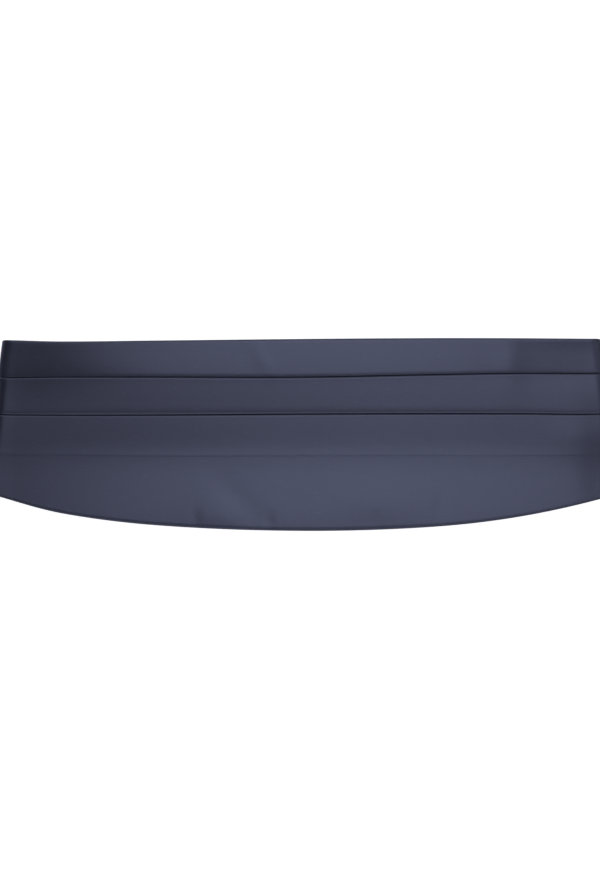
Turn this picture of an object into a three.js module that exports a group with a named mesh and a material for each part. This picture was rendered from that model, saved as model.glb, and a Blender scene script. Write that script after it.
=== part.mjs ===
// A pleated cummerbund, fastened behind and laid flat with its front up, as it lies on a table.
// Sizes are millimetres. +X runs along the band, +Y points to its top edge, and +Z stands up out
// of the table top at z = 0. The one pleated cloth makes the whole front, turns round a soft fold
// at each side and tapers on the underside, where two straps and a plain clasp close the loop.
import * as THREE from "three";

// Driving sizes
const CLOTH = 1.0; // one layer of satin with its interfacing
const AIR = 0.3; // the air between two layers, and between two pieces that touch
const BAND_HEIGHT = 127; // top edge to hem, at the middle of the front
const CLOTH_END = 320; // from the middle of the front to each end of the cloth
const FOLD_START = 192; // from the middle to where the side fold starts, at the top edge
const FOLD_LEAN = THREE.MathUtils.degToRad(7.5); // the side folds splay outwards, going down
const LEAN_START = 110; // from the middle to where the lines across the front begin to lean
const FOLD_HOLLOW = 3.2; // radius of the hollow inside a side fold
const FRONT_CROWN = 0.8; // how far the middle of the front rises over its ends
const HEM_CURL = 2.3; // how far the fall below the pleats rises to its hem
const CURL_FROM = 70; // the depths between which it rises
const CURL_TO = 135;
const FULLNESS = 1.9; // how much further the single layer of the first band rounds the side folds
const STRAP_WIDTH = 38;
const STRAP_THICK = 1.4;
const STRAP_SEAM = 26; // how far a strap is sewn over the end of the cloth
const STRAP_STEP = 16; // the length over which a strap comes down from the cloth to the table
const STRAP_RETURN = 24; // the end of a strap, turned back over the clasp's bar
const CLASP_LENGTH = 30;
const CLASP_WIDTH = 47;
const CLASP_THICK = 2.2;
const CLASP_BAR = 4; // width of the bar that a strap turns round
const CLASP_SLOT = 5; // width of a slot
const SLOT_ROOM = 2; // how much longer a slot is than a strap is wide
const CLASP_CORNER = 4;
const SLOT_CORNER = 1;

// Depths below the straight line of the top edge, along the cloth from its left end to its right
// end. s is the distance along the cloth from its middle, top is the cloth's upper edge, lip1 and
// lip2 are the folded lips of the two pleats, tuck2 is the hidden edge of the second pleat, which
// presses a line through the cloth over it, and hem is the lower edge.
const ROWS = [
  { s: -320, top: 3.0, lip1: 17.0, lip2: 31.0, tuck2: 45.0, hem: 59.0 },
  { s: -250, top: 0.6, lip1: 23.4, lip2: 46.6, tuck2: 69.0, hem: 89.0 },
  { s: -205, top: -0.4, lip1: 25.0, lip2: 49.3, tuck2: 74.6, hem: 102.5 },
  { s: -160, top: 0.8, lip1: 24.9, lip2: 50.0, tuck2: 75.5, hem: 114.8 },
  { s: -95, top: 0.5, lip1: 25.2, lip2: 50.2, tuck2: 76.5, hem: 123.2 },
  { s: 0, top: -0.1, lip1: 25.7, lip2: 50.0, tuck2: 76.7, hem: 127.2 },
  { s: 85, top: -0.3, lip1: 24.5, lip2: 50.1, tuck2: 76.9, hem: 125.0 },
  { s: 145, top: 0.0, lip1: 23.8, lip2: 50.4, tuck2: 77.3, hem: 118.3 },
  { s: 205, top: 0.6, lip1: 24.1, lip2: 50.7, tuck2: 76.4, hem: 105.1 },
  { s: 250, top: 0.6, lip1: 23.8, lip2: 47.2, tuck2: 70.0, hem: 90.0 },
  { s: 320, top: 3.0, lip1: 17.0, lip2: 31.0, tuck2: 45.0, hem: 59.0 },
];

// Soft swells and dents of the pressed front. s and drop place the middle of each, reachS and
// reachDrop are how far it spreads, and rise is its height out of the cloth.
const SWELLS = [
  { s: -205, drop: 12, reachS: 50, reachDrop: 26, rise: -2.0 },
  { s: 200, drop: 10, reachS: 50, reachDrop: 20, rise: -1.6 },
  { s: 210, drop: 66, reachS: 45, reachDrop: 12, rise: 0.6 },
  { s: 215, drop: 95, reachS: 25, reachDrop: 18, rise: -1.2 },
  { s: -60, drop: 112, reachS: 22, reachDrop: 12, rise: 0.3 },
  { s: 52, drop: 108, reachS: 26, reachDrop: 14, rise: 0.3 },
];

const HALF = CLOTH / 2;
const LAYER = CLOTH + AIR; // from one layer of cloth to the next
const TURN_RADIUS = LAYER / 2; // of a hem or of a hidden tuck
const LIP_RADIUS = 0.65; // a visible lip, at the middle of the cloth's thickness
const LIP_LIFT1 = 0.45; // how far the cloth rises over the layer below, into each lip
const LIP_LIFT2 = 0.4;
const STACK = CLOTH + LAYER + LIP_LIFT1 + 2 * LIP_RADIUS; // the thickest place of the band
const TURN_STEPS = 4;
const TUCK_SHARE = 0.6; // depth of the first pleat, as a share of the space between the lips
const FACING_SHARE = 0.45; // the top edge is turned in by this share of the first band
const HEM_FACING = 9; // the hem is turned in by this much
const BOW = 0.1; // how far the first band bows out on its way to the lip that covers it
const BOW_END = -0.4; // the same at the side folds, where it sinks in
const BOW_FROM = 90; // from the middle to where the first band starts to sink
const DIP = 0.3; // how far the second band falls on its way to the lip that covers it
const REST = 0.1; // how far the cloth under a lip stays off the innermost level
const DIVE = 1.4; // how far before a lip the cloth starts to dive under it
const UNDER = 0.8; // how far past the lip's edge the dive ends
const STEP = 0.05; // the small step over the second pleat's hidden tuck
const STEP_RUN = 1.6; // the length of that step
const UNDER_LIP = 7; // the cloth under the second lip lies flat up to this far from it
const FULL_TO = 19; // the first band is full round the folds down to this depth
const FULL_END = 25; // and not at all from this depth on
const LEVEL_Y = BAND_HEIGHT / 2; // where the straight line of the top edge lies
const NEUTRAL = FOLD_HOLLOW + STACK / 2; // the radius at which the folded cloth keeps its length
const FOLD_END = FOLD_START + Math.PI * NEUTRAL; // from the middle to where the side fold ends
const FOLD_AXIS_Z = STACK + FOLD_HOLLOW;

const HEIGHTS = ["top", "lip1", "lip2", "tuck2", "hem"];
const heightsAlong = new THREE.CubicInterpolant(
  ROWS.map((row) => row.s),
  ROWS.flatMap((row) => HEIGHTS.map((name) => row[name])),
  HEIGHTS.length,
  new Float32Array(HEIGHTS.length),
);

// How far the lines across the cloth lean with the side folds: not at the middle of the front nor
// at the ends of the cloth, and fully at the folds.
function leanShare(u) {
  const { smoothstep } = THREE.MathUtils;
  const away = Math.abs(u);
  return smoothstep(away, LEAN_START, FOLD_START) - smoothstep(away, FOLD_END, CLOTH_END);
}

// The distance along the cloth of the point at a given depth on the leaning line u.
function alongCloth(u, drop) {
  return u + Math.sign(u) * leanShare(u) * drop * Math.tan(FOLD_LEAN);
}

// The named depths on the leaning line u, and the first band's bow there. Each depth is looked up
// again where the line crosses it.
const LOOKUPS = 5;
function depthsOn(u) {
  const { clamp, lerp, smoothstep } = THREE.MathUtils;
  const depths = { bow: lerp(BOW, BOW_END, smoothstep(Math.abs(u), BOW_FROM, FOLD_START)) };
  HEIGHTS.forEach((name, column) => {
    let drop = 0;
    for (let pass = 0; pass < LOOKUPS; pass++) {
      const s = clamp(alongCloth(u, drop), -CLOTH_END, CLOTH_END);
      drop = heightsAlong.evaluate(s)[column];
    }
    depths[name] = drop;
  });
  return depths;
}

// The height of the front's crown, of its hem's curl and of its swells.
function swell(s, drop) {
  const crown = FRONT_CROWN * Math.max(0, 1 - (s / FOLD_START) ** 2);
  const curl = HEM_CURL * THREE.MathUtils.smoothstep(drop, CURL_FROM, CURL_TO);
  return SWELLS.reduce((sum, bump) => {
    const ds = (s - bump.s) / bump.reachS;
    const dd = (drop - bump.drop) / bump.reachDrop;
    return sum + bump.rise * Math.exp(-ds * ds - dd * dd);
  }, crown + curl);
}

// A point of the flat cloth, at s along it, drop below its top edge and out from its inner face,
// carried to where it lies: on the front, round a side fold, or on the underside. The front's
// swells fade out round the fold, and the first band goes round it in a wider curve.
function laid(s, drop, out) {
  const { clamp, smoothstep } = THREE.MathUtils;
  const side = Math.sign(s) || 1;
  const across = new THREE.Vector2(side * Math.cos(FOLD_LEAN), Math.sin(FOLD_LEAN));
  const flat = new THREE.Vector2(s, LEVEL_Y - drop);
  const past = flat.clone().sub(new THREE.Vector2(side * FOLD_START, LEVEL_Y)).dot(across);
  const onFold = flat.clone().addScaledVector(across, -past);
  const turn = clamp(past / NEUTRAL, 0, Math.PI);
  const wide = FOLD_HOLLOW + out + FULLNESS * (1 - smoothstep(drop, FULL_TO, FULL_END));
  const high = FOLD_HOLLOW + out + swell(s, drop) * (1 - smoothstep(turn, 0, Math.PI));
  const straight = past < 0 ? past : -Math.max(0, past - Math.PI * NEUTRAL);
  const place = onFold.addScaledVector(across, straight + wide * Math.sin(turn));
  return new THREE.Vector3(place.x, place.y, FOLD_AXIS_Z + high * Math.cos(turn));
}

// A half-round turn of the cloth from level a to level b, at a depth, bulging down or up.
function halfTurn(centre, a, b, bulge) {
  const radius = Math.abs(b - a) / 2;
  return Array.from({ length: TURN_STEPS + 1 }, (_, i) => {
    const angle = (Math.PI * i) / TURN_STEPS;
    return [centre + bulge * radius * Math.sin(angle), a + ((b - a) * (1 - Math.cos(angle))) / 2];
  });
}

// The middle line of the cloth across the band, as pairs of depth and level, from the turned-in
// end of its top edge, over and under both pleats, to the turned-in end of its hem.
function clothLine({ top, lip1, lip2, tuck2, hem, bow }) {
  const { lerp } = THREE.MathUtils;
  const low = HALF;
  const high = low + LAYER;
  const over = high + LAYER;
  const tuck1 = lerp(lip1, lip2, TUCK_SHARE);
  const facing = lerp(top, lip1, FACING_SHARE);
  const [lipLow1, lipLow2] = [high + LIP_LIFT1, high + LIP_LIFT2];
  const edge = TURN_RADIUS + HALF;
  const lipEdge = LIP_RADIUS + HALF;
  const hemHigh = over - STEP;
  const hemLow = hemHigh - LAYER;
  return [
    [facing, low],
    ...halfTurn(top + edge, low, high, -1),
    [facing, high],
    [lip1 - DIVE, high + bow],
    [lip1 + UNDER, low + REST],
    ...halfTurn(tuck1, low, high, 1),
    ...halfTurn(lip1 + lipEdge, lipLow1, lipLow1 + 2 * LIP_RADIUS, -1),
    [tuck1, over],
    [lip2 - DIVE, over - DIP],
    [lip2 + UNDER, low + REST],
    ...halfTurn(tuck2, low, high, 1),
    [lip2 + UNDER_LIP, high + REST],
    ...halfTurn(lip2 + lipEdge, lipLow2, lipLow2 + 2 * LIP_RADIUS, -1),
    [tuck2, over],
    [tuck2 + STEP_RUN, over - STEP],
    ...halfTurn(hem - edge, hemHigh, hemLow, 1),
    [hem - HEM_FACING, hemLow],
  ];
}

// The closed outline of the cloth's thickness round its middle line: out along one side of the
// line and back along the other. At a bend it keeps its thickness, up to the miter's limit.
const MITER_LIMIT = 1.5;
function thicken(line, thick) {
  const sides = [[], []];
  line.forEach(([h, n], i) => {
    const [h0, n0] = line[Math.max(i - 1, 0)];
    const [h1, n1] = line[Math.min(i + 1, line.length - 1)];
    const before = new THREE.Vector2(h - h0, n - n0);
    const after = new THREE.Vector2(h1 - h, n1 - n);
    if (before.lengthSq() === 0) before.copy(after);
    if (after.lengthSq() === 0) after.copy(before);
    const tangent = before.normalize().add(after.normalize());
    const miter = Math.min(MITER_LIMIT, 2 / tangent.length());
    tangent.normalize();
    const reach = (thick / 2) * miter;
    sides[0].push([h - tangent.y * reach, n + tangent.x * reach]);
    sides[1].push([h + tangent.y * reach, n - tangent.x * reach]);
  });
  return [...sides[0], ...sides[1].reverse()];
}

// A closed body through rings of points that all have the same number of points. The two end
// rings are covered by the flat outline that they were made from.
function loft(rings, outlines) {
  const count = rings[0].length;
  const positions = rings.flat().flatMap((p) => p.toArray());
  const faces = [];
  for (let r = 0; r + 1 < rings.length; r++) {
    for (let i = 0; i < count; i++) {
      const [a, b] = [r * count + i, r * count + ((i + 1) % count)];
      faces.push(a, b, a + count, b, b + count, a + count);
    }
  }
  const cover = (outline, first, turned) => {
    const points = outline.map(([h, n]) => new THREE.Vector2(h, n));
    THREE.ShapeUtils.triangulateShape(points, []).forEach(([a, b, c]) => {
      faces.push(...(turned ? [first + a, first + c, first + b] : [first + a, first + b, first + c]));
    });
  };
  const clockwise = THREE.ShapeUtils.isClockWise(outlines[0].map(([h, n]) => new THREE.Vector2(h, n)));
  cover(outlines[0], 0, !clockwise);
  cover(outlines[1], (rings.length - 1) * count, clockwise);
  const geometry = new THREE.BufferGeometry();
  geometry.setAttribute("position", new THREE.Float32BufferAttribute(positions, 3));
  geometry.setIndex(faces);
  return geometry.toNonIndexed();
}

// The lines across the cloth that the body is lofted through: evenly over the front, closer
// round the side folds, and a few on the underside.
function stations() {
  const frontSteps = 16;
  const foldSteps = 7;
  const backSteps = 4;
  const half = [];
  for (let i = 1; i <= frontSteps / 2; i++) {
    half.push((FOLD_START * 2 * i) / frontSteps);
  }
  const foldLength = (Math.PI * NEUTRAL) / Math.cos(FOLD_LEAN);
  for (let i = 1; i <= foldSteps; i++) {
    half.push(FOLD_START + (foldLength * i) / foldSteps);
  }
  for (let i = 1; i <= backSteps; i++) {
    half.push(THREE.MathUtils.lerp(FOLD_START + foldLength, CLOTH_END, i / backSteps));
  }
  return [...half.map((u) => -u).reverse(), 0, ...half];
}

function pleatedCloth() {
  const outlines = stations().map((u) => thicken(clothLine(depthsOn(u)), CLOTH));
  const rings = stations().map((u, k) => outlines[k].map(([h, n]) => laid(alongCloth(u, h), h, n)));
  return loft(rings, [outlines[0], outlines.at(-1)]);
}

// The straps lie on the underside. Each leaves the cloth's end in line with it and bends flat
// until it meets the clasp square on.
const STRAP_DROP = (ROWS.at(-1).top + ROWS.at(-1).hem) / 2; // the middle of the cloth's end
const CLOTH_EDGE = laid(CLOTH_END, STRAP_DROP, 0);
const STRAP_BEND = 2 * FOLD_LEAN; // the angle that a strap turns through on its way
const BAR_X = CLASP_LENGTH / 2 - CLASP_BAR / 2;
const BEND_RADIUS = (CLOTH_EDGE.x - BAR_X) / Math.sin(STRAP_BEND);
const STRAP_RUN = BEND_RADIUS * STRAP_BEND; // from the cloth's end to the middle of the bar
const CLASP_Y = CLOTH_EDGE.y - BEND_RADIUS * (1 - Math.cos(STRAP_BEND));
const BAR_LOW = STRAP_THICK + AIR;
const ROUND_BAR = 0.55; // a strap's turn round the bar is flatter than a half circle
const ROUND_STEPS = 6;
const FLAT_FROM = STRAP_STEP + 5; // where the strap has settled on the table
const FACETS = 5; // along each stretch of a strap

// The point of the right-hand strap at a distance from the cloth's end and a distance across: on
// an arc between the cloth and the bar, and straight before and after it.
function onStrap(distance, across) {
  const bent = THREE.MathUtils.clamp(distance, 0, STRAP_RUN);
  const angle = STRAP_BEND * (1 - bent / STRAP_RUN);
  const heading = new THREE.Vector2(-Math.cos(angle), -Math.sin(angle));
  const middle = new THREE.Vector2(
    BAR_X + BEND_RADIUS * Math.sin(angle),
    CLASP_Y + BEND_RADIUS * (1 - Math.cos(angle)),
  );
  middle.addScaledVector(heading, distance - bent);
  return middle.add(new THREE.Vector2(heading.y, -heading.x).multiplyScalar(across));
}

// Points of a smooth slope from one pair of distance and height to another.
function slope([d0, z0], [d1, z1], steps) {
  return Array.from({ length: steps + 1 }, (_, i) => {
    const share = i / steps;
    const height = THREE.MathUtils.smoothstep(share, 0, 1);
    return [THREE.MathUtils.lerp(d0, d1, share), THREE.MathUtils.lerp(z0, z1, height)];
  });
}

// The strap seen from its edge, as pairs of distance and height: sewn on the cloth's inner face,
// down to the table, under the clasp's bar, round it and back over itself.
function strapLine() {
  const onTable = STRAP_THICK / 2;
  const onCloth = STACK + AIR + onTable;
  const overSelf = onTable + STRAP_THICK + AIR;
  const overBar = BAR_LOW + CLASP_THICK + AIR + onTable;
  const radius = (overBar - onTable) / 2;
  const turn = STRAP_RUN + CLASP_BAR / 2 + AIR;
  const barEdge = STRAP_RUN - CLASP_BAR / 2;
  const round = Array.from({ length: ROUND_STEPS + 1 }, (_, i) => {
    const angle = (Math.PI * i) / ROUND_STEPS;
    return [turn + radius * ROUND_BAR * Math.sin(angle), onTable + radius * (1 - Math.cos(angle))];
  });
  return [
    [-STRAP_SEAM, onCloth],
    ...slope([AIR, onCloth], [STRAP_STEP, onTable], FACETS),
    ...slope([FLAT_FROM, onTable], [barEdge, onTable], FACETS),
    ...round,
    ...slope([barEdge - AIR, overBar], [barEdge - STRAP_RETURN / 2, overSelf], FACETS),
    [barEdge - STRAP_RETURN, overSelf],
  ];
}

function strap(side) {
  const outline = thicken(strapLine(), STRAP_THICK).map(([d, z]) => new THREE.Vector2(d, z));
  const settings = { depth: STRAP_WIDTH, steps: 1, bevelEnabled: false };
  const geometry = new THREE.ExtrudeGeometry(new THREE.Shape(outline), settings);
  const position = geometry.getAttribute("position");
  for (let i = 0; i < position.count; i++) {
    const place = onStrap(position.getX(i), side * (position.getZ(i) - STRAP_WIDTH / 2));
    position.setXYZ(i, side * place.x, place.y, position.getY(i));
  }
  return geometry;
}

function roundedRectangle(shape, length, width, radius, centre = 0) {
  const [x, y] = [length / 2, width / 2];
  shape.moveTo(centre - x + radius, -y);
  shape.lineTo(centre + x - radius, -y);
  shape.absarc(centre + x - radius, -y + radius, radius, -Math.PI / 2, 0);
  shape.absarc(centre + x - radius, y - radius, radius, 0, Math.PI / 2);
  shape.absarc(centre - x + radius, y - radius, radius, Math.PI / 2, Math.PI);
  shape.absarc(centre - x + radius, -y + radius, radius, Math.PI, 1.5 * Math.PI);
  return shape;
}

// One flat plate with a slot for each strap.
function clasp() {
  const plate = roundedRectangle(new THREE.Shape(), CLASP_LENGTH, CLASP_WIDTH, CLASP_CORNER);
  for (const side of [-1, 1]) {
    const centre = side * (CLASP_LENGTH / 2 - CLASP_BAR - CLASP_SLOT / 2);
    const length = STRAP_WIDTH + SLOT_ROOM;
    plate.holes.push(roundedRectangle(new THREE.Path(), CLASP_SLOT, length, SLOT_CORNER, centre));
  }
  const settings = { depth: CLASP_THICK, steps: 1, bevelEnabled: false, curveSegments: 4 };
  return new THREE.ExtrudeGeometry(plate, settings);
}

const satin = new THREE.MeshStandardMaterial({ color: "#42455a", roughness: 0.5, metalness: 0 });
const webbing = new THREE.MeshStandardMaterial({ color: "#2c2e3c", roughness: 0.8, metalness: 0 });
const plastic = new THREE.MeshStandardMaterial({ color: "#1b1c22", roughness: 0.4, metalness: 0 });

const cummerbund = new THREE.Group();

function addPiece(name, geometry, material, place = [0, 0, 0]) {
  const mesh = new THREE.Mesh(geometry, material);
  mesh.name = name;
  mesh.position.set(...place);
  cummerbund.add(mesh);
}

addPiece("pleated_cloth", pleatedCloth(), satin);
addPiece("strap_left", strap(-1), webbing);
addPiece("strap_right", strap(1), webbing);
addPiece("clasp", clasp(), plastic, [0, CLASP_Y, BAR_LOW]);

// The origin goes to the middle of the footprint, on the table.
const footprint = new THREE.Box3().setFromObject(cummerbund);
const middle = footprint.getCenter(new THREE.Vector3());
cummerbund.position.set(-middle.x, -middle.y, -footprint.min.z);

export default cummerbund;
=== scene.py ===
# %% [markdown]
# # A pleated satin cummerbund, lying flat
# This lesson dresses a plain solid model of a cummerbund. The band lies on its back on a table,
# its front up, and the camera looks straight down at it. The solid model gives every place and
# size, in metres, with +X along the band, +Y to its top edge and +Z up. The looks are made here.

import bmesh
import bpy
import numpy as np
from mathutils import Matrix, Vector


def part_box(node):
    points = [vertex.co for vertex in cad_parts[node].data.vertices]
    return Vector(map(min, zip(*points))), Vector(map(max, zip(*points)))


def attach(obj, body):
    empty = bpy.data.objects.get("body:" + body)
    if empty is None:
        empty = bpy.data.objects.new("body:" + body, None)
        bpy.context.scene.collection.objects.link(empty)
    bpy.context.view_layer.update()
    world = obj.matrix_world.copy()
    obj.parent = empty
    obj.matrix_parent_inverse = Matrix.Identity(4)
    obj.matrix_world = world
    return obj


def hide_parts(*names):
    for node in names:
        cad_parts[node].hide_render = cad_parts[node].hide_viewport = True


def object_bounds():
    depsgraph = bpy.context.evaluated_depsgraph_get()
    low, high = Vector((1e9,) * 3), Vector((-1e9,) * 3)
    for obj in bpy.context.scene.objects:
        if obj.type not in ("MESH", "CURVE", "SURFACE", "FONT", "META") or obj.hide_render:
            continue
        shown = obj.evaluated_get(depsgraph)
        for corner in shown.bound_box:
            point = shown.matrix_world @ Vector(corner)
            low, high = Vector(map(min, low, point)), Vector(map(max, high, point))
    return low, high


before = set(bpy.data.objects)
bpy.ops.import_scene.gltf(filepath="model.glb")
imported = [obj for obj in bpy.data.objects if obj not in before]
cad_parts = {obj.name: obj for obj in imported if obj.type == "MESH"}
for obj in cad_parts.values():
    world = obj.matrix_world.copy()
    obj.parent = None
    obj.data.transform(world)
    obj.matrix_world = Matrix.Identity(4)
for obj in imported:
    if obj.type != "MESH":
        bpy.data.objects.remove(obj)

cad_low, cad_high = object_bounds()
print("solid model from", tuple(cad_low), "to", tuple(cad_high))

# %% [markdown]
# ## The camera
# The photograph's pleats are straight and parallel from end to end, which only a lens that looks
# straight down from far away gives. A long lens keeps the side folds from showing their outer
# faces. The band is turned a quarter of a degree in the picture, so the camera is turned back.

# %% The camera
MM = 0.001
PIXEL = 0.663 * MM  # what one pixel of the picture covers at the height of the front
PICTURE_HEIGHT = 870  # pixels
LENS, SENSOR = 120 * MM, 36 * MM
AIM = -1.45 * MM, -0.17 * MM  # what lies in the middle of the picture
TURN = np.radians(-0.25)

camera_data = bpy.data.cameras.new("camera")
camera_data.lens = LENS / MM
camera_data.sensor_width = SENSOR / MM
camera = bpy.data.objects.new("camera", camera_data)
bpy.context.collection.objects.link(camera)
distance = PICTURE_HEIGHT * PIXEL * LENS / SENSOR
camera.location = (AIM[0], AIM[1], cad_high.z + distance)
camera.rotation_euler = (0, 0, TURN)
bpy.context.scene.camera = camera
print("camera", round(distance, 3), "m above the front")

# %% [markdown]
# ## Where the cloth's edges and folds run
# A cummerbund is one cloth. Its maker presses two pleats that open upwards, turns in the top edge
# and the hem, and tapers both ends. A short table holds the depth of each of these lines below
# the top edge, at a few places along the cloth, and smooth cubics join its rows. A table is the
# natural form here, because it is how a pattern cutter writes down such a cloth.

# %% The pattern table
CLOTH = 1.0 * MM  # one layer of satin with its interfacing
AIR = 0.3 * MM  # the air between two layers
CLOTH_END = 320 * MM  # from the middle of the front to each end of the cloth
FOLD_START = 192.0 * MM  # from the middle to where the side fold starts, at the top edge
FOLD_LEAN = np.radians(7.5)  # the side folds splay outwards, going down
FOLD_HOLLOW = 3.2 * MM  # radius of the hollow inside a side fold
LEVEL_Y = 63.5 * MM  # where the straight line of the top edge lies

COLUMNS = ("s", "top", "lip1", "lip2", "tuck2", "hem")  # the place along the cloth, then depths
PATTERN = MM * np.array([
    (-320, 3.0, 17.0, 31.0, 45.0, 59.0),
    (-250, 0.6, 23.4, 46.6, 69.0, 89.0),
    (-205, -0.4, 24.8, 49.3, 74.6, 102.8),
    (-160, 0.8, 24.7, 50.0, 75.5, 115.1),
    (-95, 0.5, 25.0, 50.2, 76.5, 123.5),
    (0, -0.1, 25.5, 50.0, 76.7, 127.5),
    (85, -0.3, 24.3, 50.1, 76.9, 125.3),
    (145, 0.0, 23.6, 50.4, 77.3, 118.6),
    (205, 0.6, 23.9, 50.7, 76.4, 105.4),
    (250, 0.6, 23.8, 47.2, 70.0, 90.0),
    (320, 3.0, 17.0, 31.0, 45.0, 59.0),
])


def cubic(t, start, end, slope_start, slope_end):
    """The cubic from start to end with those slopes, at a share t of the way between them."""
    lift = start * (1 + 2 * t) * (1 - t) ** 2 + end * t * t * (3 - 2 * t)
    return lift + slope_start * t * (1 - t) ** 2 - slope_end * t * t * (1 - t)


def along_rows(s, column):
    """A column of the table at s: cubics between rows, whose slope at a row is its neighbours'."""
    xs, ys = PATTERN[:, 0], PATTERN[:, COLUMNS.index(column)]
    slope = np.concatenate([
        (ys[1:2] - ys[:1]) / (xs[1:2] - xs[:1]),
        (ys[2:] - ys[:-2]) / (xs[2:] - xs[:-2]),
        (ys[-1:] - ys[-2:-1]) / (xs[-1:] - xs[-2:-1]),
    ])
    k = np.clip(np.searchsorted(xs, s) - 1, 0, len(xs) - 2)
    width = xs[k + 1] - xs[k]
    return cubic((s - xs[k]) / width, ys[k], ys[k + 1], slope[k] * width, slope[k + 1] * width)


print("hem at the middle", round(float(along_rows(np.array([0.0]), "hem")[0]) / MM, 1), "mm down")

# %% [markdown]
# ## The lines across the cloth
# The mesh is a grid. One way of it runs along the band and the other across it. The lines across
# are upright in the middle of the front and lean with the side folds towards the sides, so that
# the mesh bends cleanly round the folds.

# %% Lines across the cloth
LIP = 0.65 * MM  # radius of a visible lip, at the middle of the cloth's thickness
LIFT1, LIFT2 = 0.45 * MM, 0.4 * MM  # how far the cloth rises over the layer below, into each lip
STACK = CLOTH + (CLOTH + AIR) + LIFT1 + 2 * LIP  # the thickest place of the band
NEUTRAL = FOLD_HOLLOW + STACK / 2  # the radius at which the folded cloth keeps its length
FOLD_END = FOLD_START + np.pi * NEUTRAL
LEAN_START = 110 * MM  # from the middle to where the lines across start to lean
LOOKUPS = 5  # each lookup brings a depth closer to where its line is crossed


def smooth(x, low, high):
    """0 below low, 1 above high, and an S-shaped cubic between them."""
    t = np.clip((x - low) / (high - low), 0, 1)
    return t * t * (3 - 2 * t)


def along_cloth(u, drop):
    """Where the line u is along the cloth at a depth: u, moved out by the depth times its lean."""
    lean = smooth(abs(u), LEAN_START, FOLD_START) - smooth(abs(u), FOLD_END, CLOTH_END)
    return u + np.sign(u) * lean * drop * np.tan(FOLD_LEAN)


def depths_on(u):
    """The depth of each named line on the lines u, looked up again where the line crosses it."""
    depths = {}
    for name in COLUMNS[1:]:
        drop = np.zeros_like(u)
        for _ in range(LOOKUPS):
            drop = along_rows(np.clip(along_cloth(u, drop), -CLOTH_END, CLOTH_END), name)
        depths[name] = drop
    return depths


FRONT_STEPS, FOLD_STEPS, BACK_STEPS = 100, 20, 22  # from the middle to one end of the cloth
fold_length = np.pi * NEUTRAL / np.cos(FOLD_LEAN)
half_lines = np.concatenate([
    np.linspace(0, FOLD_START, FRONT_STEPS, endpoint=False)[1:],
    np.linspace(FOLD_START, FOLD_START + fold_length, FOLD_STEPS, endpoint=False),
    np.linspace(FOLD_START + fold_length, CLOTH_END, BACK_STEPS),
])
lines = np.concatenate([-half_lines[::-1], [0.0], half_lines])
print(len(lines), "lines across the cloth")

# %% [markdown]
# ## The section through the pleats
# Cut across, the band is a zigzag: a turned-in edge, the first band, a dive under the first lip,
# a hidden tuck, back up to the lip, and so on. It could be modelled as separate strips, but the
# real cloth is continuous, and only a continuous one gives true shadows under the lips. Each run
# between two turns is a cubic through a few levels, and each turn is half a circle.

# %% Runs and turns
def flow(knots, counts):
    """A run of cloth through knots of depth and level. Cubics join them, flat at both ends and
    with the harmonic mean of the neighbouring slopes between. counts holds points per stretch."""
    depth = np.array([np.broadcast_to(k[0], lines.shape) for k in knots])
    level = np.array([np.broadcast_to(k[1], lines.shape) for k in knots])
    width = np.diff(depth, axis=0)
    rise = np.diff(level, axis=0) / width
    product = rise[1:] * rise[:-1]
    mean = 2 * product / np.where(product > 0, rise[1:] + rise[:-1], 1)
    slope = np.zeros_like(level)
    slope[1:-1] = np.where(product > 0, mean, 0)
    stretches = []
    for k, count in enumerate(counts):
        t = (np.arange(count) / count)[:, None]
        ends = (level[k], level[k + 1], slope[k] * width[k], slope[k + 1] * width[k])
        stretches.append(np.stack([depth[k] + t * width[k], cubic(t, *ends)], axis=-1))
    return np.concatenate(stretches)


def turn(centre, start, end, side, count):
    """Half a circle from one level to another, bulging to that side: depth goes with the sine of
    the angle, and level with its cosine."""
    angle = (np.pi * np.arange(count) / count)[:, None]
    depth = centre + side * abs(end - start) / 2 * np.sin(angle)
    level = np.broadcast_to(start + (end - start) * (1 - np.cos(angle)) / 2, depth.shape)
    return np.stack([depth, level], axis=-1)


# %% The cloth's middle line, for every line across at once
TUCK_SHARE = 0.6  # how far below its lip the first tuck turns, as a share of the way to the next
FACING_SHARE = 0.45  # how far down the turned-in top edge ends, as a share of the way to a lip
HEM_FACING = 9 * MM  # how far the hem is turned in
BOW, BOW_END = -0.12 * MM, -0.55 * MM  # how far the first band bows out: in the middle, at the folds
BOW_FROM = 90 * MM  # from the middle to where its bow starts to change
DIP = 0.38 * MM  # how far the second band falls on its way to the lip that covers it
REST = 0.1 * MM  # how far the cloth under a lip stays off the innermost level
DIVE = 1.0 * MM  # how far before a lip the cloth starts to dive under it
UNDER = 0.9 * MM  # how far past the lip's edge the dive ends
STEP, STEP_RUN = 0.05 * MM, 1.6 * MM  # the small step over the second pleat's hidden tuck
UNDER_LIP = 7 * MM  # how far below the second lip its inner layer starts to rise to it
BREAK = 1.0 * MM  # where the cloth bends down past a lip
FALL1, FALL2 = 0.04 * MM, 0.02 * MM  # how far it has come down there, past each lip
RIDGE = 1.5 * MM  # the second pleat's tuck lifts the cloth over it along this width
SETTLE, SINK = 14 * MM, 0.12 * MM  # past the tuck the fall settles this far down, over this length


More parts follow.
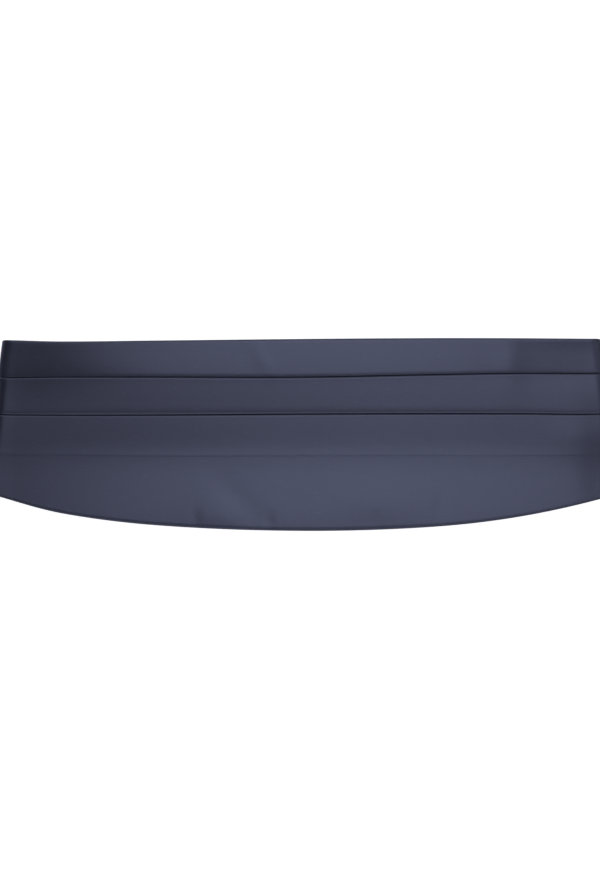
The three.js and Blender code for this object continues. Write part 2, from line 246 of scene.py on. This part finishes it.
def cloth_line(top, lip1, lip2, tuck2, hem):
    """Depth and level of the cloth's middle, from the turned-in top edge to the turned-in hem."""
    low = CLOTH / 2
    high = low + CLOTH + AIR
    over = high + CLOTH + AIR
    tuck1 = lip1 + TUCK_SHARE * (lip2 - lip1)
    facing = top + FACING_SHARE * (lip1 - top)
    edge = (CLOTH + AIR) / 2 + CLOTH / 2
    lip_edge = LIP + CLOTH / 2
    bow = BOW + (BOW_END - BOW) * smooth(abs(lines), BOW_FROM, FOLD_START)
    low1, low2 = high + LIFT1, high + LIFT2
    high1, high2 = low1 + 2 * LIP, low2 + 2 * LIP
    hem_high = over - STEP - SINK
    hem_low = hem_high - CLOTH - AIR
    last = np.stack([hem - HEM_FACING, np.full_like(hem, hem_low)], axis=-1)[None]
    return np.concatenate([
        flow([(facing, low), (top + edge, low)], [3]),
        turn(top + edge, low, high, -1, 8),
        flow([(top + edge, high), (facing, high), (lip1 - DIVE, high + bow),
              (lip1 + UNDER, low + REST), (tuck1, low)], [6, 6, 10, 4]),
        turn(tuck1, low, high, 1, 5),
        flow([(tuck1, high), (lip1 + lip_edge, low1)], [5]),
        turn(lip1 + lip_edge, low1, high1, -1, 10),
        flow([(lip1 + lip_edge, high1), (lip1 + lip_edge + BREAK, high1 - FALL1), (tuck1, over),
              (lip2 - DIVE, over - DIP), (lip2 + UNDER, low + REST), (tuck2, low)], [3, 6, 6, 10, 4]),
        turn(tuck2, low, high, 1, 5),
        flow([(tuck2, high), (lip2 + UNDER_LIP, high + REST), (lip2 + lip_edge, low2)], [3, 4]),
        turn(lip2 + lip_edge, low2, high2, -1, 10),
        flow([(lip2 + lip_edge, high2), (lip2 + lip_edge + BREAK, high2 - FALL2),
              (tuck2 - RIDGE, over), (tuck2, over), (tuck2 + STEP_RUN, over - STEP),
              (tuck2 + SETTLE, hem_high), (hem - edge, hem_high)], [3, 11, 3, 4, 8, 18]),
        turn(hem - edge, hem_high, hem_low, 1, 8),
        flow([(hem - edge, hem_low), (hem - HEM_FACING, hem_low)], [4]),
        last,
    ])


middle = cloth_line(**depths_on(lines))
print("middle line of", len(middle), "points on each of", middle.shape[1], "lines")

# %% [markdown]
# ## From flat pattern to folded band
# Every point of the pattern is carried to where it lies. On the front it keeps its place. Past
# the fold line it goes round a half circle, and after that it runs back on the underside. The
# map keeps lengths at the middle of the cloth's thickness, as cloth does. A cloth simulation
# could press the pleats too, but it blurs such sharp folds and can't hold them to a photograph.

# %% Swells of the front
CROWN = 0.8 * MM  # how much higher the middle of the front lies than its sides
CURL, CURL_FROM, CURL_TO = 2.3 * MM, 70 * MM, 135 * MM  # how far the fall rises to the hem
FULLNESS = 1.9 * MM  # how much fuller the first band's single layer rounds the side folds
FULL_TO, FULL_END = 22 * MM, 29 * MM  # the depths between which that fades
SWELLS = np.array([  # s, drop, reach along, reach across, turned down by, rise
    (-205, 18, 50, 30, 0, -2.3),  # both upper corners sink towards the side folds
    (200, 10, 53, 20, 0, -1.9),
    (139, 14, 9, 20, 0, 0.25),  # a low ridge beside the right one
    (205, 66, 35, 14, 0, 0.7),  # the fall is fuller at the right fold, and dented below that
    (203, 85, 13, 40, 0, -0.7),
    (-56, 114, 20, 12, 0, 0.3),  # two cushions over the turned-in hem
    (52, 108, 26, 14, 0, 0.3),
    (-41, 108, 22, 8, 45, -0.2),  # a slanting crease between them
    (-22, 121, 3.5, 7, 0, -0.16),  # small puckers where the hem is sewn
    (-71, 120, 3.5, 8, 0, -0.12),
    (48, 120, 4, 8, 0, -0.12),
    (91, 113, 4, 9, 0, -0.1),
    (-27, 12, 14, 5, 60, 0.12),  # a press mark in the first band
]) * (MM, MM, MM, MM, np.radians(1), MM)
print(len(SWELLS), "swells")


def swell(s, drop):
    """A crown that falls with the square of s, the curl of the fall up to the hem, and bell-shaped
    swells, each turned by its own angle."""
    total = CROWN * np.maximum(0, 1 - (s / FOLD_START) ** 2) + CURL * smooth(drop, CURL_FROM, CURL_TO)
    for where_s, where_drop, reach_s, reach_drop, turned, rise in SWELLS:
        right, down = s - where_s, drop - where_drop
        along = (right * np.cos(turned) + down * np.sin(turned)) / reach_s
        across = (down * np.cos(turned) - right * np.sin(turned)) / reach_drop
        total = total + rise * np.exp(-along ** 2 - across ** 2)
    return total


def laid(s, drop, out):
    """Place of a pattern point: straight to the fold line, half a circle past it, then back. In the
    first band the circle is a wider ellipse. The swells of the front fade out round the fold."""
    side = np.where(s < 0, -1.0, 1.0)
    across_x, across_y = side * np.cos(FOLD_LEAN), np.sin(FOLD_LEAN)
    y = LEVEL_Y - drop
    past = (s - side * FOLD_START) * across_x + (y - LEVEL_Y) * across_y
    angle = np.clip(past / NEUTRAL, 0, np.pi)
    wide = FOLD_HOLLOW + out + FULLNESS * (1 - smooth(drop, FULL_TO, FULL_END))
    high = FOLD_HOLLOW + out + swell(s, drop) * (1 - smooth(angle, 0, np.pi))
    straight = np.where(past < 0, past, -np.maximum(0, past - np.pi * NEUTRAL))
    reach = straight + wide * np.sin(angle) - past
    height = STACK + FOLD_HOLLOW + high * np.cos(angle)
    return np.stack([s + across_x * reach, y + across_y * reach, height], axis=-1)


# %% [markdown]
# ## Giving the cloth its thickness
# The middle line is offset to both sides and joined into one closed loop, with round cut ends.
# The loops of all lines across make the grid. The pattern's own lengths become the UV map, so
# that a weave drawn on it follows every fold.

# %% The cloth's closed surface
CAP_ANGLES = np.radians([60, 0, -60])  # where the points of a cut end's round cap lie


def thick_outline(centre, half):
    """The loop round a middle line: each point moved by half along the normal, and round caps."""
    tangent = np.gradient(centre, axis=0)
    tangent = tangent / np.linalg.norm(tangent, axis=-1, keepdims=True)
    normal = np.stack([-tangent[..., 1], tangent[..., 0]], axis=-1)
    turns = CAP_ANGLES[:, None, None]
    far = centre[-1] + half * (np.cos(turns) * tangent[-1] + np.sin(turns) * normal[-1])
    near = centre[0] - half * (np.cos(turns) * tangent[0] + np.sin(turns) * normal[0])
    return np.concatenate([centre + half * normal, far, (centre - half * normal)[::-1], near])


def volume(mesh):
    """Signed volume: the sum over triangles of a corner's triple product, over six."""
    mesh.calc_loop_triangles()
    place = np.empty(3 * len(mesh.vertices))
    corner = np.empty(3 * len(mesh.loop_triangles), dtype=np.int32)
    mesh.vertices.foreach_get("co", place)
    mesh.loop_triangles.foreach_get("vertices", corner)
    a, b, c = place.reshape(-1, 3)[corner.reshape(-1, 3)].transpose(1, 0, 2)
    return float((a * np.cross(b, c)).sum() / 6)


def closed_grid(name, points, uv, material):
    """A mesh from a grid of loops (loop point, line, maybe copies, xyz): quads between neighbouring
    lines, and strips of quads that close the end loops. Its faces end up pointing outwards."""
    index = np.arange(points[..., 0].size).reshape(points.shape[:-1])
    after = np.roll(index, -1, axis=0)
    sides = np.stack([index[:, :-1], index[:, 1:], after[:, 1:], after[:, :-1]], axis=-1)
    half = len(index) // 2
    left, right = index[:half], index[half:][::-1]
    first = np.stack([left[:-1, 0], left[1:, 0], right[1:, 0], right[:-1, 0]], axis=-1)
    last = np.stack([left[:-1, -1], right[:-1, -1], right[1:, -1], left[1:, -1]], axis=-1)
    faces = np.concatenate([part.reshape(-1, 4) for part in (sides, first, last)])
    mesh = bpy.data.meshes.new(name)
    mesh.from_pydata(points.reshape(-1, 3), [], faces)
    layer = mesh.uv_layers.new(name="cut")
    corners = np.empty(len(mesh.loops), dtype=np.int32)
    mesh.loops.foreach_get("vertex_index", corners)
    layer.data.foreach_set("uv", uv.reshape(-1, 2)[corners].ravel())
    if volume(mesh) < 0:
        mesh.flip_normals()
    mesh.shade_smooth()
    return add_piece(name, mesh, material)


def add_piece(name, mesh, material):
    """An object of that mesh and material, at the origin, and its volume in the print."""
    mesh.materials.append(material)
    piece = bpy.data.objects.new(name, mesh)
    bpy.context.collection.objects.link(piece)
    print(name, len(mesh.polygons), "faces,", round(volume(mesh) / MM ** 3), "cubic millimetres")
    return piece


# %% [markdown]
# ## Helpers for materials
# A material is a small tree of nodes. Two helpers keep the trees readable: one adds a node with
# its settings, and one starts a material with its main shader.

# %% Node helpers
def add(tree, kind, settings=(), **inputs):
    """Adds a node, sets its settings, and sets or links each named input."""
    node = tree.nodes.new("ShaderNode" + kind)
    for key, value in dict(settings).items():
        setattr(node, key, value)
    for key, value in inputs.items():
        socket = node.inputs[int(key[1:])] if key[1:].isdigit() else node.inputs[key.replace("_", " ")]
        if isinstance(value, bpy.types.NodeSocket):
            tree.links.new(value, socket)
        else:
            socket.default_value = value
    return node


def start_material(name, **inputs):
    """A material whose main shader has those constant inputs. Gives the tree and the shader."""
    material = bpy.data.materials.new(name)
    material.use_nodes = True
    shader = material.node_tree.nodes["Principled BSDF"]
    for key, value in inputs.items():
        shader.inputs[key.replace("_", " ")].default_value = value
    return material, material.node_tree, shader


# %% [markdown]
# ## Satin
# Satin shines because its threads float over many others before they dive under one. This one
# also has slubs: short, slightly thicker and lighter lengths of thread along the band. Stretched
# noise on the cloth's own UV map, in metres, draws both.

# %% The satin material
SATIN = (0.0190, 0.0202, 0.0330, 1)  # the colour that the threads have in themselves
SLUB = (0.0290, 0.0305, 0.0460, 1)
SHINE = (0.58, 0.64, 1.0, 1)  # their shine is tinted, because light passes through the outer fibres
SLUB_GRAIN = (150, 1500, 1)  # how fine the noises are along the band and across it, per metre
THREAD_GRAIN = (220, 4200, 1)
CLOUD_GRAIN = 22.0
SLUB_LIMITS = 0.72, 0.85  # a slub starts at the first value of its noise and is full at the second


def satin_material():
    """Noise stretched along the threads draws slubs and threads. Wide, faint noise is the cloud."""
    material, tree, shader = start_material("satin", Roughness=0.26, Specular_IOR_Level=0.78,
                                            Specular_Tint=SHINE)
    uv = add(tree, "UVMap", {"uv_map": "cut"}).outputs["UV"]
    flat = {"noise_dimensions": "2D"}
    slub_place = add(tree, "Mapping", Vector=uv, Scale=SLUB_GRAIN).outputs["Vector"]
    slubs = add(tree, "TexNoise", flat, Vector=slub_place, Scale=1.0, Detail=1.0)
    slub = add(tree, "MapRange", Value=slubs.outputs["Fac"], From_Min=SLUB_LIMITS[0],
               From_Max=SLUB_LIMITS[1])
    thread_place = add(tree, "Mapping", Vector=uv, Scale=THREAD_GRAIN).outputs["Vector"]
    threads = add(tree, "TexNoise", flat, Vector=thread_place, Scale=1.0, Detail=1.0)
    tone = add(tree, "MapRange", Value=threads.outputs["Fac"], To_Min=0.9, To_Max=1.1)
    cloud = add(tree, "TexNoise", flat, Vector=uv, Scale=CLOUD_GRAIN, Detail=3.0)
    cloud_tone = add(tree, "MapRange", Value=cloud.outputs["Fac"], To_Min=0.92, To_Max=1.08)
    both = add(tree, "Math", {"operation": "MULTIPLY"}, _0=tone.outputs[0], _1=cloud_tone.outputs[0])
    colour = add(tree, "Mix", {"data_type": "RGBA"}, _0=slub.outputs[0], _6=SATIN, _7=SLUB)
    shade = add(tree, "VectorMath", {"operation": "SCALE"}, _0=colour.outputs[2], Scale=both.outputs[0])
    tree.links.new(shade.outputs["Vector"], shader.inputs["Base Color"])
    height = add(tree, "Math", {"operation": "MULTIPLY_ADD"}, _0=slub.outputs[0], _1=0.5,
                 _2=threads.outputs["Fac"])
    bump = add(tree, "Bump", Strength=0.2, Distance=0.03 * MM, Height=height.outputs[0])
    tree.links.new(bump.outputs["Normal"], shader.inputs["Normal"])
    return material


satin = satin_material()
print("satin has", len(satin.node_tree.nodes), "nodes")

# %% The pleated cloth
outline = thick_outline(middle, CLOTH / 2)
step_length = np.linalg.norm(np.diff(middle, axis=0), axis=-1)
run_length = np.concatenate([np.zeros((1, len(lines))), np.cumsum(step_length, axis=0)])
caps = len(CAP_ANGLES)
cut = np.concatenate([run_length, np.repeat(run_length[-1:], caps, 0), run_length[::-1],
                      np.repeat(run_length[:1], caps, 0)])
s = along_cloth(lines[None], outline[..., 0])
folded = laid(s, outline[..., 0], outline[..., 1])
middle_of_folded = (folded.min(axis=(0, 1)) + folded.max(axis=(0, 1))) / 2
cad_cloth = np.array(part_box("pleated_cloth"))
SHIFT = np.append((cad_cloth.mean(axis=0) - middle_of_folded)[:2], cad_cloth[0][2])
cloth = closed_grid("satin_cloth", folded + SHIFT, np.stack([s, cut], axis=-1), satin)
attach(cloth, "root")
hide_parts("pleated_cloth")

# %% [markdown]
# ## The straps
# A flat strap leaves each end of the cloth, bends a little in its own plane, goes round the
# clasp's bar and lies back on itself. It could be a curve with a bevel, but then its edges would
# be square and its UV map unknown. Here a section with round edges is carried along the path, and
# the lengths along and across become the UV map that the weave is drawn on.

# %% The strap's path
STRAP_WIDTH, STRAP_THICK = 38 * MM, 1.4 * MM
STRAP_SEAM = 26 * MM  # how far it is sewn over the end of the cloth
STRAP_STEP = 16 * MM  # the length over which it comes down from the cloth to the table
STRAP_RETURN = 24 * MM  # its end, turned back over the clasp's bar
CLASP_LENGTH, CLASP_WIDTH, CLASP_THICK = 30 * MM, 47 * MM, 2.2 * MM
CLASP_BAR, CLASP_SLOT = 4 * MM, 5 * MM  # width of the bar that a strap turns round, and of a slot
SLOT_ROOM = 2 * MM  # how much longer a slot is than a strap is wide
CLASP_CORNER, SLOT_CORNER = 4 * MM, 1 * MM
ROUND_BAR = 0.62  # the turn round the bar is flatter than a half circle
PAST_TURN = 1 * MM  # from the end of that turn to the next point
SEAM_POINTS, RUN_POINTS, TURN_POINTS, BACK_POINTS = 40, 60, 17, 28

strap_drop = (PATTERN[-1, 1] + PATTERN[-1, -1]) / 2
cloth_edge = laid(np.array(CLOTH_END), np.array(strap_drop), np.array(0.0))
strap_bend = 2 * FOLD_LEAN
bar_x = (CLASP_LENGTH - CLASP_BAR) / 2
bend_radius = (cloth_edge[0] - bar_x) / np.sin(strap_bend)
strap_run = bend_radius * strap_bend  # from the end of the cloth to the middle of the bar
bar_edge = strap_run - CLASP_BAR / 2
clasp_y = cloth_edge[1] - bend_radius * (1 - np.cos(strap_bend))
bar_low = STRAP_THICK + AIR
print("strap runs", round(strap_run / MM, 1), "mm from the cloth to the clasp's bar")


def on_strap(distance, across):
    """The right-hand strap seen from above: a circle's arc from the cloth to the bar, and a
    straight line before and after it. across is measured square to that path."""
    bent = np.clip(distance, 0, strap_run)
    angle = strap_bend * (1 - bent / strap_run)
    straight = distance - bent
    x = bar_x + bend_radius * np.sin(angle) - straight * np.cos(angle) - across * np.sin(angle)
    y = clasp_y + bend_radius * (1 - np.cos(angle)) - straight * np.sin(angle) + across * np.cos(angle)
    return x, y


def slope(distance, start, end, before, after):
    """A height that goes from start to end along an S-shaped cubic between before and after."""
    return start + (end - start) * smooth(distance, before, after)


def strap_line():
    """The strap seen from its edge: distance and height from the seam to the turned-back end."""
    on_table = STRAP_THICK / 2
    on_cloth = STACK + AIR + on_table
    over_self = on_table + STRAP_THICK + AIR
    over_bar = bar_low + CLASP_THICK + AIR + on_table
    radius = (over_bar - on_table) / 2
    tip = strap_run + CLASP_BAR / 2 + AIR
    out = np.concatenate([np.linspace(-STRAP_SEAM, STRAP_STEP, SEAM_POINTS),
                          np.linspace(STRAP_STEP, tip, RUN_POINTS)[1:-1]])
    angle = np.linspace(0, np.pi, TURN_POINTS)
    back = np.linspace(tip - PAST_TURN, bar_edge - STRAP_RETURN, BACK_POINTS)
    distance = np.concatenate([out, tip + radius * ROUND_BAR * np.sin(angle), back])
    height = np.concatenate([
        slope(out, on_cloth, on_table, AIR, STRAP_STEP),
        on_table + radius * (1 - np.cos(angle)),
        slope(-back, over_bar, over_self, AIR - bar_edge, STRAP_RETURN / 2 - bar_edge),
    ])
    return np.stack([distance, height], axis=-1)


# %% The strap's surface
EDGE_ANGLES = np.radians([-78.75, -56.25, -33.75, -11.25, 11.25, 33.75, 56.25, 78.75])
LEVEL_POINTS = 12  # across the strap's level middle


def strap_section():
    """Half of the section, from one edge to the other: across, and out from the middle. Its ends
    are quarter circles of half the thickness, and its middle is level."""
    radius = STRAP_THICK / 2
    rim = STRAP_WIDTH / 2 - radius
    left, right = EDGE_ANGLES[:4], EDGE_ANGLES[4:]
    level = np.linspace(-rim, rim, LEVEL_POINTS)
    across = np.concatenate([-rim + radius * np.sin(left), level, rim + radius * np.sin(right)])
    out = radius * np.concatenate([np.cos(left), np.ones_like(level), np.cos(right)])
    return across, out


def strap(name, side, material):
    """The section carried along the path: each point moves out along the path's normal."""
    line = strap_line()
    tangent = np.gradient(line, axis=0)
    tangent = tangent / np.linalg.norm(tangent, axis=-1, keepdims=True)
    across, out = strap_section()
    across = np.concatenate([across, across[::-1]])[:, None]
    out = np.concatenate([out, -out])[:, None]
    distance = line[:, 0] - tangent[:, 1] * out
    x, y = on_strap(distance, side * across)
    height = line[:, 1] + tangent[:, 0] * out
    points = np.stack([side * x, y, np.broadcast_to(height, x.shape)], axis=-1) + SHIFT
    run = np.concatenate([[0], np.cumsum(np.linalg.norm(np.diff(line, axis=0), axis=-1))])
    uv = np.stack(np.broadcast_arrays(run, across), axis=-1)
    piece = closed_grid(name, points, uv, material)
    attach(piece, "root")
    return piece


# %% [markdown]
# ## Webbing
# The straps are ribbed ribbon: thick weft threads inside make ribs across it, and thin warp
# threads lie over them. Sines on the UV map draw both. The same height goes to the bump, and it
# also darkens the colour into the valleys between the ribs, which is painted shade.

# %% The webbing material
# The darker of these two colours is painted shade, for the valleys between the ribs.
WEBBING_VALLEY_SHADE = (0.018, 0.019, 0.030, 1)
WEBBING_LIGHT = (0.036, 0.039, 0.062, 1)
RIB, WARP = 1.1 * MM, 0.4 * MM  # from rib to rib along the strap, and from thread to thread across
WARP_SHARE = 0.3  # the warp's height, as a share of a rib's


def webbing_material():
    """Height: the sine of the length over a rib, plus a fainter sine across for the warp. The
    colour goes darker with that height, into the valleys: painted shade.
    """
    material, tree, shader = start_material("webbing", Roughness=0.72, Specular_IOR_Level=0.35,
                                            Sheen_Weight=0.15, Sheen_Roughness=0.5)
    uv = add(tree, "UVMap", {"uv_map": "cut"}).outputs["UV"]
    parts = add(tree, "SeparateXYZ", Vector=uv)
    ribs = add(tree, "Math", {"operation": "MULTIPLY"}, _0=parts.outputs["X"], _1=2 * np.pi / RIB)
    rib = add(tree, "Math", {"operation": "SINE"}, _0=ribs.outputs[0])
    warps = add(tree, "Math", {"operation": "MULTIPLY"}, _0=parts.outputs["Y"], _1=2 * np.pi / WARP)
    warp = add(tree, "Math", {"operation": "SINE"}, _0=warps.outputs[0])
    height = add(tree, "Math", {"operation": "MULTIPLY_ADD"}, _0=warp.outputs[0], _1=WARP_SHARE,
                 _2=rib.outputs[0])
    share = add(tree, "MapRange", Value=height.outputs[0], From_Min=-1 - WARP_SHARE,
                From_Max=1 + WARP_SHARE)
    # Painted shade: the colour darkens from the crests of the ribs into their valleys.
    colour = add(tree, "Mix", {"data_type": "RGBA"}, _0=share.outputs[0], _6=WEBBING_VALLEY_SHADE,
                 _7=WEBBING_LIGHT)
    tree.links.new(colour.outputs[2], shader.inputs["Base Color"])
    bump = add(tree, "Bump", Strength=0.6, Distance=0.15 * MM, Height=share.outputs[0])
    tree.links.new(bump.outputs["Normal"], shader.inputs["Normal"])
    return material


webbing = webbing_material()
strap_left = strap("left_strap", -1, webbing)
strap_right = strap("right_strap", 1, webbing)
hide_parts("strap_left")
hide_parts("strap_right")

# %% [markdown]
# ## Stitches
# Two rows of stitches hold each strap on the cloth, and two more hold its turned-back end. They
# could be painted on, but then they would catch no light. Here one short thread that dives in at
# both ends is a grid of points, and numpy lays a copy of it at every place in one go.

# %% The thread
THREAD = 0.22 * MM  # radius of the sewing thread
TWIST = 0.7 * MM  # the length of one turn of its strands


def thread_material():
    """Height: the sine of length over twist plus the share of the turn, so strands wind round."""
    material, tree, shader = start_material("thread", Base_Color=WEBBING_LIGHT, Roughness=0.5)
    uv = add(tree, "UVMap", {"uv_map": "cut"}).outputs["UV"]
    parts = add(tree, "SeparateXYZ", Vector=uv)
    turns = add(tree, "Math", {"operation": "MULTIPLY_ADD"}, _0=parts.outputs["X"], _1=1 / TWIST,
                _2=parts.outputs["Y"])
    phase = add(tree, "Math", {"operation": "MULTIPLY"}, _0=turns.outputs[0], _1=2 * np.pi)
    strand = add(tree, "Math", {"operation": "SINE"}, _0=phase.outputs[0])
    bump = add(tree, "Bump", Strength=0.5, Distance=0.05 * MM, Height=strand.outputs[0])
    tree.links.new(bump.outputs["Normal"], shader.inputs["Normal"])
    return material


# %% The rows of stitches
STITCH, STITCH_GAP = 2.2 * MM, 0.9 * MM
ROW_INSET, ROW_GAP = 3 * MM, 3 * MM  # from a strap's end to its first row, and from row to row
SELVEDGE = 2 * MM  # left free at both edges of the strap
POINTED = 0.35  # a thread's radius where it dives in, as a share of its full radius
DIVE_IN, RISE = 0.9 * THREAD, 1.5 * THREAD  # how deep its ends lie, and how far it rises from there
AROUND, ALONG = 8, 9  # points round a thread and along it


def stitches(name, side, material):
    """Threads across the strap. A thread's height and radius go with the root of a half sine."""
    seam_top = STACK + AIR + STRAP_THICK
    end_top = 2 * STRAP_THICK + AIR
    end_row = bar_edge - STRAP_RETURN + ROW_INSET
    rows = np.array([(ROW_INSET - STRAP_SEAM, seam_top), (-ROW_INSET, seam_top),
                     (end_row, end_top), (end_row + ROW_GAP, end_top)])
    free = STRAP_WIDTH / 2 - SELVEDGE
    starts = np.arange(-free, free - STITCH, STITCH + STITCH_GAP)
    row_distance, row_top = np.repeat(rows, len(starts), axis=0).T
    start = np.tile(starts, len(rows))
    turn_share = (np.arange(AROUND) / AROUND)[:, None, None]
    t = np.linspace(0, 1, ALONG)[None, :, None]
    arch = np.sqrt(np.abs(np.sin(np.pi * t)))
    radius = THREAD * (POINTED + (1 - POINTED) * arch)
    distance = row_distance + radius * np.cos(2 * np.pi * turn_share)
    height = row_top + RISE * arch - DIVE_IN + radius * np.sin(2 * np.pi * turn_share)
    across = np.broadcast_to(start + STITCH * t, height.shape)
    x, y = on_strap(distance, side * across)
    uv = np.stack(np.broadcast_arrays(across, turn_share), axis=-1)
    piece = closed_grid(name, np.stack([side * x, y, height], axis=-1) + SHIFT, uv, material)
    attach(piece, "root")


thread = thread_material()
stitches("left_stitches", -1, thread)
stitches("right_stitches", 1, thread)

# %% [markdown]
# ## The clasp
# The photograph hides the fastening, so it is one plain plate with a slot for each strap. A flat
# outline with two holes is what a filled curve draws best: its bevel rounds every edge, also in
# the slots, and no joining of solids is needed.

# %% The clasp's shape
CLASP_EDGE = 0.6 * MM  # radius of the rounded edges
CORNER_STEPS, EDGE_STEPS = 8, 3  # points round a corner, and steps round an edge
JOINED = 0.001 * MM  # points closer than this are one


def rounded_rectangle(length, width, radius, centre=0.0):
    """Four quarter circles of that radius round the corners of a smaller rectangle."""
    angle = np.linspace(0, np.pi / 2, CORNER_STEPS) + np.arange(4)[:, None] * np.pi / 2
    corner_x = (length / 2 - radius) * np.array([1, -1, -1, 1])[:, None]
    corner_y = (width / 2 - radius) * np.array([1, 1, -1, -1])[:, None]
    x = centre + corner_x + radius * np.cos(angle)
    y = corner_y + radius * np.sin(angle)
    return np.stack([x.ravel(), y.ravel()], axis=-1)


def clasp_mesh():
    """A filled curve through the outline and the slots, drawn smaller by the bevel that is added."""
    curve = bpy.data.curves.new("clasp_outline", "CURVE")
    curve.dimensions, curve.fill_mode = "2D", "BOTH"
    curve.bevel_depth, curve.bevel_resolution = CLASP_EDGE, EDGE_STEPS
    curve.extrude = CLASP_THICK / 2 - CLASP_EDGE
    slot_x = CLASP_LENGTH / 2 - CLASP_BAR - CLASP_SLOT / 2
    slot_size = CLASP_SLOT + 2 * CLASP_EDGE, STRAP_WIDTH + SLOT_ROOM + 2 * CLASP_EDGE
    loops = [rounded_rectangle(CLASP_LENGTH - 2 * CLASP_EDGE, CLASP_WIDTH - 2 * CLASP_EDGE,
                               CLASP_CORNER - CLASP_EDGE)]
    for side in (-1, 1):
        loops.append(rounded_rectangle(*slot_size, SLOT_CORNER + CLASP_EDGE, side * slot_x)[::-1])
    for loop in loops:
        spline = curve.splines.new("POLY")
        spline.points.add(len(loop) - 1)
        spline.points.foreach_set("co", np.pad(loop, ((0, 0), (0, 2))).ravel())
        spline.use_cyclic_u = True
    drawn = bpy.data.objects.new("clasp_outline", curve)
    mesh = bpy.data.meshes.new_from_object(drawn)
    bpy.data.objects.remove(drawn)
    solid = bmesh.new()
    solid.from_mesh(mesh)
    bmesh.ops.remove_doubles(solid, verts=solid.verts, dist=JOINED)
    bmesh.ops.recalc_face_normals(solid, faces=solid.faces)
    middle = (SHIFT[0], clasp_y + SHIFT[1], bar_low + CLASP_THICK / 2 + SHIFT[2])
    bmesh.ops.translate(solid, verts=solid.verts, vec=middle)
    solid.to_mesh(mesh)
    print("clasp's open edges:", sum(not edge.is_manifold for edge in solid.edges))
    solid.free()
    mesh.materials.clear()
    return mesh


# %% The clasp and its plastic
PLASTIC = (0.014, 0.015, 0.019, 1)
MOULD_GRAIN, WEAR_GRAIN = 2600.0, 90.0  # how fine the two noises are, per metre
PLASTIC_ROUGHNESS = 0.36, 0.5  # it varies between these


def plastic_material():
    """Fine noise for the grain of the mould, and a wide one that varies the gloss a little."""
    material, tree, shader = start_material("plastic", Base_Color=PLASTIC)
    place = add(tree, "TexCoord").outputs["Object"]
    grain = add(tree, "TexNoise", Vector=place, Scale=MOULD_GRAIN, Detail=2.0)
    wear = add(tree, "TexNoise", Vector=place, Scale=WEAR_GRAIN, Detail=3.0)
    roughness = add(tree, "MapRange", Value=wear.outputs["Fac"], To_Min=PLASTIC_ROUGHNESS[0],
                    To_Max=PLASTIC_ROUGHNESS[1])
    tree.links.new(roughness.outputs[0], shader.inputs["Roughness"])
    bump = add(tree, "Bump", Strength=0.3, Distance=0.03 * MM, Height=grain.outputs["Fac"])
    tree.links.new(bump.outputs["Normal"], shader.inputs["Normal"])
    return material


clasp = add_piece("slotted_clasp", clasp_mesh(), plastic_material())
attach(clasp, "root")
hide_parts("clasp")

# %% [markdown]
# ## The floor and the light
# The cloth was photographed on pure white without a shadow. Such a ground is a light table: a matt
# plate that glows evenly from below. A lamp that is bright enough to bleach a plain floor would
# also bleach the satin, so here the floor's material glows a little by itself. The satin gets its
# soft gradient from wide soft boxes and from the pale walls of the studio, which light the folds.

# %% The floor
FLOOR_SIZE = 8.0  # metres
FLOOR_GLOW = 0.75
FLOOR_GAP = 0.1 * MM  # left between the floor and the band, so that the two never coincide


def floor_material():
    """Matt white with a faint mottle from a wide noise, and a glow of its own."""
    material, tree, shader = start_material("floor", Roughness=0.9, Emission_Color=(1, 1, 1, 1),
                                            Emission_Strength=FLOOR_GLOW)
    place = add(tree, "TexCoord").outputs["Object"]
    grain = add(tree, "TexNoise", Vector=place, Scale=6.0, Detail=4.0)
    tone = add(tree, "MapRange", Value=grain.outputs["Fac"], To_Min=0.88, To_Max=0.92)
    tree.links.new(tone.outputs[0], shader.inputs["Base Color"])
    return material


floor_mesh = bpy.data.meshes.new("floor")
corners = np.array([(-1, -1, 0), (1, -1, 0), (1, 1, 0), (-1, 1, 0)]) * FLOOR_SIZE / 2
floor_mesh.from_pydata(corners, [], [(0, 1, 2, 3)])
floor_mesh.materials.append(floor_material())
floor = bpy.data.objects.new("floor", floor_mesh)
bpy.context.collection.objects.link(floor)
floor.location.z = -FLOOR_GAP
print("floor of", FLOOR_SIZE, "by", FLOOR_SIZE, "m")

# %% The studio round the table
HORIZON_GLOW, ZENITH_GLOW = 0.4, 0.05
WALL_TOP = np.sin(np.radians([20, 50]))  # the pale walls fade out between these heights
WALL_COLOUR = (0.95, 0.97, 1.0, 1)

world = bpy.data.worlds.new("studio")
bpy.context.scene.world = world
world.use_nodes = True
studio = world.node_tree
direction = add(studio, "TexCoord").outputs["Generated"]
upward = add(studio, "SeparateXYZ", Vector=direction).outputs["Z"]
glow = add(studio, "MapRange", {"interpolation_type": "SMOOTHSTEP"}, Value=upward,
           From_Min=WALL_TOP[0], From_Max=WALL_TOP[1], To_Min=HORIZON_GLOW, To_Max=ZENITH_GLOW)
studio.nodes["Background"].inputs["Color"].default_value = WALL_COLOUR
studio.links.new(glow.outputs[0], studio.nodes["Background"].inputs["Strength"])
print("studio glows", HORIZON_GLOW, "at the walls and", ZENITH_GLOW, "overhead")


# %% The lights
LIGHTS = {  # place and size in metres, and watts
    "overhead_light": ((0.1, 0.3, 2.6), 0.9, 6.5),
    "top_light": ((0.0, 1.1, 1.5), 1.4, 8.0),
    "bottom_light": ((0.0, -1.1, 1.5), 1.4, 8.0),
    "right_light": ((1.1, 0.0, 1.5), 1.4, 4.0),
}


def soft_light(name, place, size, watts):
    """A square soft box of that size in metres, turned towards the middle of the band."""
    data = bpy.data.lights.new(name, "AREA")
    data.size = size
    data.energy = watts
    light = bpy.data.objects.new(name, data)
    light.location = place
    light.rotation_mode = "QUATERNION"
    light.rotation_quaternion = (-light.location).to_track_quat("-Z", "Y")
    bpy.context.collection.objects.link(light)


for name, settings in LIGHTS.items():
    soft_light(name, *settings)
bpy.context.scene.view_settings.view_transform = "Standard"
print(len(LIGHTS), "soft lights")
